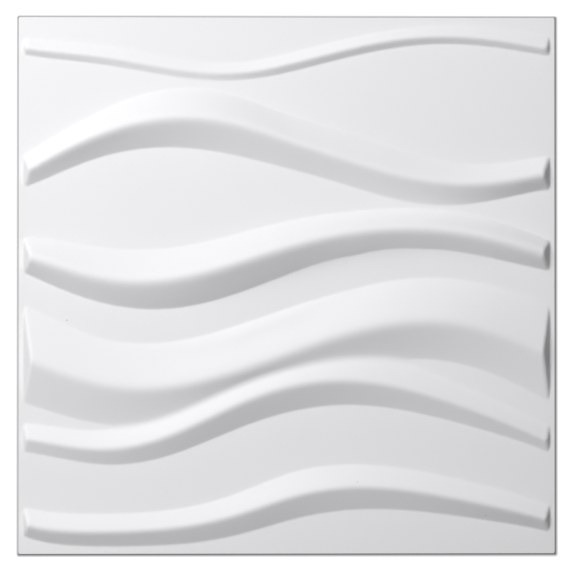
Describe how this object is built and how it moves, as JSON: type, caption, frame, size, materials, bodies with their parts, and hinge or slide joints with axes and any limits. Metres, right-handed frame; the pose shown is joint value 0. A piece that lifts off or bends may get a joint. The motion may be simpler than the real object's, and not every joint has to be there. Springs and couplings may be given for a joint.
{
  "type": "3d wall panel tile",
  "caption": "Square wall tile formed from one thin white plastic sheet, with raised waves running side to side, sloped wave ends and an open hollow back.",
  "frame": {"origin": "middle of the back plane, at the tile's lowest point as it lies face up", "axes": "+Z out of the show face, +Y towards the tile's upper edge as hung, +X towards its right edge"},
  "size_m": [0.5, 0.5, 0.0187],
  "materials": {
    "white_pvc": "satin white rigid PVC"
  },
  "bodies": {
    "root": {"wave_panel": "white_pvc"}
  },
  "joints": []
}
